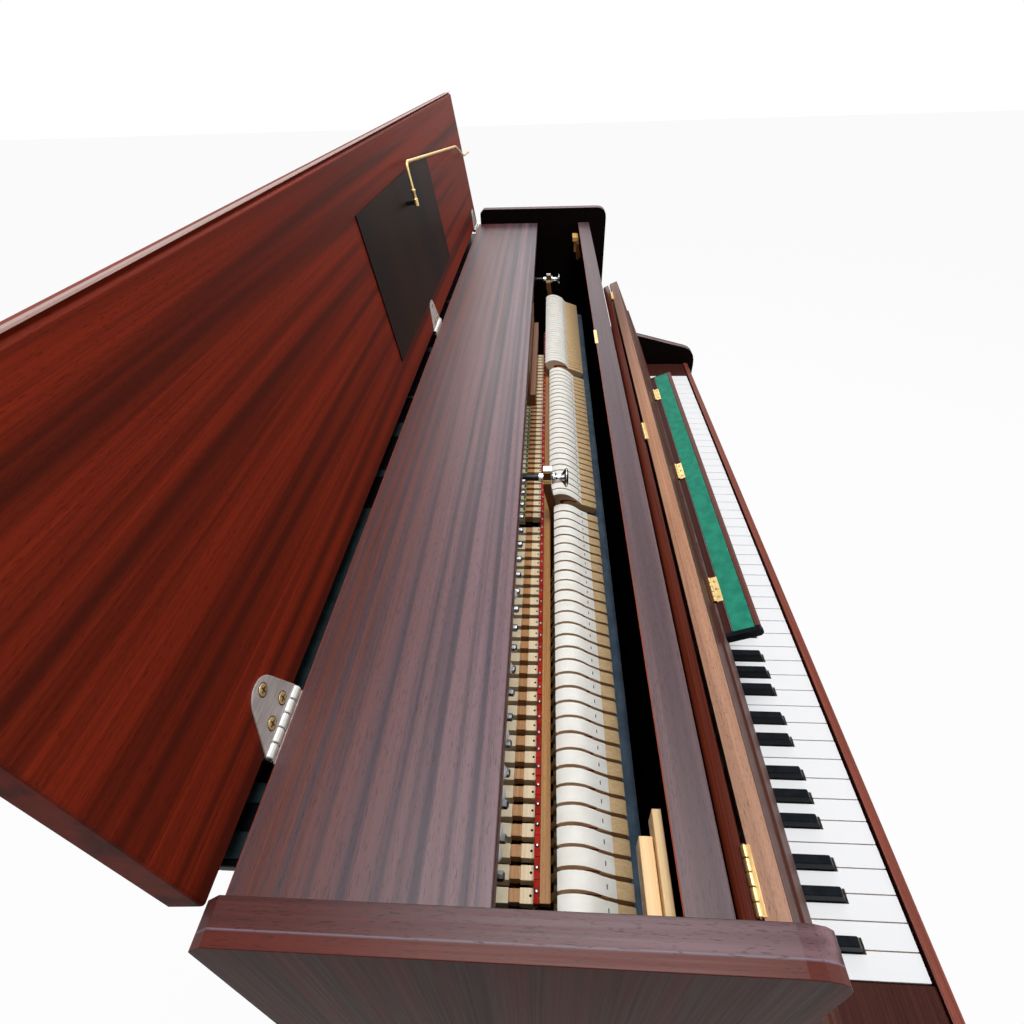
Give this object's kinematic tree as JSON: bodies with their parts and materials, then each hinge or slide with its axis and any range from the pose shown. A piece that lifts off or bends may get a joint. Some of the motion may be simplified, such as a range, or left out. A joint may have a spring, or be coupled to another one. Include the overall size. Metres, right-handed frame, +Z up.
{
  "type": "upright piano",
  "caption": "Upright piano with its lid and keyboard cover open, a fold-out music shelf, playing keys, hammers, dampers and working pedals.",
  "frame": {"origin": "on the floor, in the middle of the width and of the whole depth with the lid open", "axes": "+X from the bass end to the treble end, +Y to the rear, +Z up; the player sits on the -Y side"},
  "size_m": [1.402, 0.606, 1.3331],
  "materials": {
    "mahogany": "red-brown polished veneer with fine dark stripes",
    "dark_wood": "dark stained wood",
    "ebony": "near-black satin",
    "ivory": "smooth warm white key tops",
    "maple": "bare light wood",
    "back_wood": "stained frame wood",
    "spruce": "varnished straight-grained board",
    "plate_iron": "bronze-painted iron",
    "steel": "bright wire",
    "copper": "copper-wound wire",
    "nickel": "satin nickel hinge",
    "brass": "lacquered brass",
    "felt_white": "dense off-white felt on wood",
    "felt_blue": "blue-grey cloth",
    "baize": "green baize"
  },
  "bodies": {
    "case": {"side_panel_bass": "mahogany", "side_panel_treble": "mahogany", "leg_bass": "mahogany", "leg_treble": "mahogany", "bottom_board": "back_wood", "keybed": "dark_wood", "key_slip": "mahogany", "key_block_bass": "mahogany", "key_block_treble": "mahogany", "lower_front_panel": "mahogany", "upper_front_panel": "mahogany", "nameboard_rail": "dark_wood", "rear_top_board": "mahogany", "panel_block_bass": "maple", "key_frame": "maple", "action_bracket_bass": "plate_iron", "action_bracket_middle": "plate_iron", "action_bracket_treble": "plate_iron", "action_rail": "maple", "damper_stop_rail": "maple", "back_frame": "back_wood", "soundboard": "spruce", "pin_block": "maple", "iron_plate": "plate_iron", "bass_strings": "copper", "bass_bridge": "maple", "treble_strings": "steel", "treble_bridge": "maple"},
    "lid": {"lid": "mahogany", "lid_plaque": "ebony", "lid_hinge_1": "nickel", "lid_hinge_2": "nickel", "lid_hinge_3": "nickel", "lid_prop_socket": "brass"},
    "lid_prop": {"lid_prop": "brass"},
    "fallboard": {"fallboard": "mahogany"},
    "music_lip": {"music_lip": "mahogany"},
    "music_shelf": {"music_shelf": "mahogany", "shelf_baize": "baize"},
    "hammer_rest_rail": {"hammer_rest_rail": "felt_blue"},
    "hammers_bass": {"hammers_bass": "felt_white"},
    "hammers_middle": {"hammers_middle": "felt_white"},
    "hammers_treble": {"hammers_treble": "felt_white"},
    "dampers_bass": {"dampers_bass": "felt_white"},
    "dampers_middle": {"dampers_middle": "felt_white"},
    "white_keys_low": {"white_keys_low": "ivory"},
    "white_keys_high": {"white_keys_high": "ivory"},
    "black_keys_low": {"black_keys_low": "ebony"},
    "black_keys_high": {"black_keys_high": "ebony"},
    "key_c2": {"key_c2": "ivory"},
    "key_c_sharp_2": {"key_c_sharp_2": "ebony"},
    "key_d2": {"key_d2": "ivory"},
    "key_d_sharp_2": {"key_d_sharp_2": "ebony"},
    "key_e2": {"key_e2": "ivory"},
    "pedal_soft": {"pedal_soft": "brass"},
    "pedal_sustain": {"pedal_sustain": "brass"},
    "trap_lever_soft": {"trap_lever_soft": "maple"},
    "trap_lever_sustain": {"trap_lever_sustain": "maple"},
    "dowel_soft": {"dowel_soft": "maple"},
    "dowel_sustain": {"dowel_sustain": "maple"}
  },
  "joints": [
    {"name": "lid_hinge", "type": "hinge", "parent": "case", "child": "lid", "pos_m": [0, 0.24457, 1.087], "axis": [1, 0, 0], "range_deg": [0, 99]},
    {"name": "lid_prop_swing", "type": "hinge", "parent": "lid", "child": "lid_prop", "pos_m": [0.076, 0.25702, 1.25512], "axis": [0, 0.1564, 0.9877], "range_deg": [-100, 0]},
    {"name": "fallboard_hinge", "type": "hinge", "parent": "case", "child": "fallboard", "pos_m": [0, -0.13063, 0.8214], "axis": [1, 0, 0], "range_deg": [0, 134]},
    {"name": "music_lip_hinge", "type": "hinge", "parent": "fallboard", "child": "music_lip", "pos_m": [0, -0.06458, 0.9459], "axis": [1, 0, 0], "range_deg": [0, 180]},
    {"name": "music_shelf_hinge", "type": "hinge", "parent": "fallboard", "child": "music_shelf", "pos_m": [0, -0.12464, 0.87248], "axis": [1, 0, 0], "range_deg": [-88, 0]},
    {"name": "white_keys_low_dip", "type": "hinge", "parent": "case", "child": "white_keys_low", "pos_m": [0, -0.05243, 0.712], "axis": [1, 0, 0], "range_deg": [0, 2.65], "stiffness_Nm_per_rad": 8, "springref_deg": -20.05},
    {"name": "white_keys_high_dip", "type": "hinge", "parent": "case", "child": "white_keys_high", "pos_m": [0, -0.05243, 0.712], "axis": [1, 0, 0], "range_deg": [0, 2.65], "stiffness_Nm_per_rad": 8, "springref_deg": -20.05},
    {"name": "black_keys_low_dip", "type": "hinge", "parent": "case", "child": "black_keys_low", "pos_m": [0, -0.05243, 0.712], "axis": [1, 0, 0], "range_deg": [0, 2.65], "stiffness_Nm_per_rad": 6, "springref_deg": -14.32},
    {"name": "black_keys_high_dip", "type": "hinge", "parent": "case", "child": "black_keys_high", "pos_m": [0, -0.05243, 0.712], "axis": [1, 0, 0], "range_deg": [0, 2.65], "stiffness_Nm_per_rad": 6, "springref_deg": -14.32},
    {"name": "key_c2_dip", "type": "hinge", "parent": "case", "child": "key_c2", "pos_m": [0, -0.05243, 0.712], "axis": [1, 0, 0], "range_deg": [0, 2.65], "stiffness_Nm_per_rad": 0.4, "springref_deg": -22.92},
    {"name": "key_d2_dip", "type": "hinge", "parent": "case", "child": "key_d2", "pos_m": [0, -0.05243, 0.712], "axis": [1, 0, 0], "range_deg": [0, 2.65], "stiffness_Nm_per_rad": 0.4, "springref_deg": -22.92},
    {"name": "key_e2_dip", "type": "hinge", "parent": "case", "child": "key_e2", "pos_m": [0, -0.05243, 0.712], "axis": [1, 0, 0], "range_deg": [0, 2.65], "stiffness_Nm_per_rad": 0.4, "springref_deg": -22.92},
    {"name": "key_c_sharp_2_dip", "type": "hinge", "parent": "case", "child": "key_c_sharp_2", "pos_m": [0, -0.05243, 0.712], "axis": [1, 0, 0], "range_deg": [0, 2.65], "stiffness_Nm_per_rad": 0.3, "springref_deg": -17.19},
    {"name": "key_d_sharp_2_dip", "type": "hinge", "parent": "case", "child": "key_d_sharp_2", "pos_m": [0, -0.05243, 0.712], "axis": [1, 0, 0], "range_deg": [0, 2.65], "stiffness_Nm_per_rad": 0.3, "springref_deg": -17.19},
    {"name": "rest_rail_swing", "type": "hinge", "parent": "case", "child": "hammer_rest_rail", "pos_m": [0, 0.06757, 0.838], "axis": [1, 0, 0], "range_deg": [-10, 0]},
    {"name": "hammers_bass_blow", "type": "hinge", "parent": "hammer_rest_rail", "child": "hammers_bass", "pos_m": [0, 0.06757, 0.838], "axis": [1, 0, 0], "range_deg": [-21.2, 0]},
    {"name": "hammers_middle_blow", "type": "hinge", "parent": "hammer_rest_rail", "child": "hammers_middle", "pos_m": [0, 0.06757, 0.838], "axis": [1, 0, 0], "range_deg": [-21.2, 0]},
    {"name": "hammers_treble_blow", "type": "hinge", "parent": "hammer_rest_rail", "child": "hammers_treble", "pos_m": [0, 0.06757, 0.838], "axis": [1, 0, 0], "range_deg": [-21.2, 0]},
    {"name": "dampers_bass_lift", "type": "hinge", "parent": "case", "child": "dampers_bass", "pos_m": [0, 0.08957, 0.822], "axis": [1, 0, 0], "range_deg": [0, 3]},
    {"name": "dampers_middle_lift", "type": "hinge", "parent": "case", "child": "dampers_middle", "pos_m": [0, 0.08957, 0.822], "axis": [1, 0, 0], "range_deg": [0, 3]},
    {"name": "pedal_soft_press", "type": "hinge", "parent": "case", "child": "pedal_soft", "pos_m": [0, -0.01043, 0.046], "axis": [-1, 0, 0], "range_deg": [-5, 0], "stiffness_Nm_per_rad": 4, "springref_deg": 28.65},
    {"name": "pedal_sustain_press", "type": "hinge", "parent": "case", "child": "pedal_sustain", "pos_m": [0, -0.01043, 0.046], "axis": [1, 0, 0], "range_deg": [0, 5], "stiffness_Nm_per_rad": 4, "springref_deg": -28.65},
    {"name": "trap_lever_soft_turn", "type": "hinge", "parent": "case", "child": "trap_lever_soft", "pos_m": [0.66, 0.02957, 0.102], "axis": [0, 1, 0], "range_deg": [0, 0.3]},
    {"name": "trap_lever_sustain_turn", "type": "hinge", "parent": "case", "child": "trap_lever_sustain", "pos_m": [0.66, 0.01157, 0.102], "axis": [0, 1, 0], "range_deg": [0, 0.2]},
    {"name": "dowel_soft_lift", "type": "slide", "parent": "case", "child": "dowel_soft", "axis": [0, 0, 1], "range_m": [0, 0.0066]},
    {"name": "dowel_sustain_lift", "type": "slide", "parent": "case", "child": "dowel_sustain", "axis": [0, 0, 1], "range_m": [0, 0.0042]}
  ],
  "couplings": [
    {"joint": "music_shelf_hinge", "follows": "fallboard_hinge", "ratio": -0.65672},
    {"joint": "hammers_bass_blow", "follows": "white_keys_low_dip", "ratio": -8},
    {"joint": "hammers_middle_blow", "follows": "white_keys_high_dip", "ratio": -8},
    {"joint": "hammers_treble_blow", "follows": "white_keys_high_dip", "ratio": -8},
    {"joint": "rest_rail_swing", "follows": "pedal_soft_press", "ratio": 2},
    {"joint": "trap_lever_soft_turn", "follows": "pedal_soft_press", "ratio": -0.0567},
    {"joint": "dowel_soft_lift", "follows": "pedal_soft_press", "m_per_rad": -0.0746},
    {"joint": "trap_lever_sustain_turn", "follows": "pedal_sustain_press", "ratio": 0.0358},
    {"joint": "dowel_sustain_lift", "follows": "pedal_sustain_press", "m_per_rad": 0.0465},
    {"joint": "dampers_bass_lift", "follows": "pedal_sustain_press", "ratio": 0.6},
    {"joint": "dampers_middle_lift", "follows": "pedal_sustain_press", "ratio": 0.6}
  ]
}
